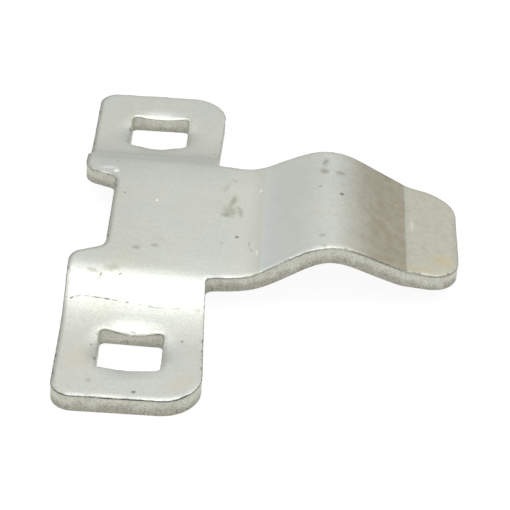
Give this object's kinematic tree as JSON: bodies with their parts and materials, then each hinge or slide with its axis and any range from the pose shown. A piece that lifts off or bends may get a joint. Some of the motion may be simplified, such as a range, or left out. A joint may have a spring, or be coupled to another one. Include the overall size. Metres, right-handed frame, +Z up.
{
  "type": "stamped metal bracket",
  "caption": "Stamped steel hold-down bracket: flat bolted ends with square holes, a raised bridge between them and a humped tongue that ends in a flat tab.",
  "frame": {"origin": "midway between the two square holes, on the underside plane of the bolted ends", "axes": "+X runs towards the tongue, +Y along the row of holes, +Z is up"},
  "size_m": [0.0737, 0.105, 0.0145],
  "materials": {
    "plated_steel": "dull plated steel, lightly stained, with rough cut edges"
  },
  "bodies": {
    "root": {"bracket": "plated_steel"}
  },
  "joints": []
}
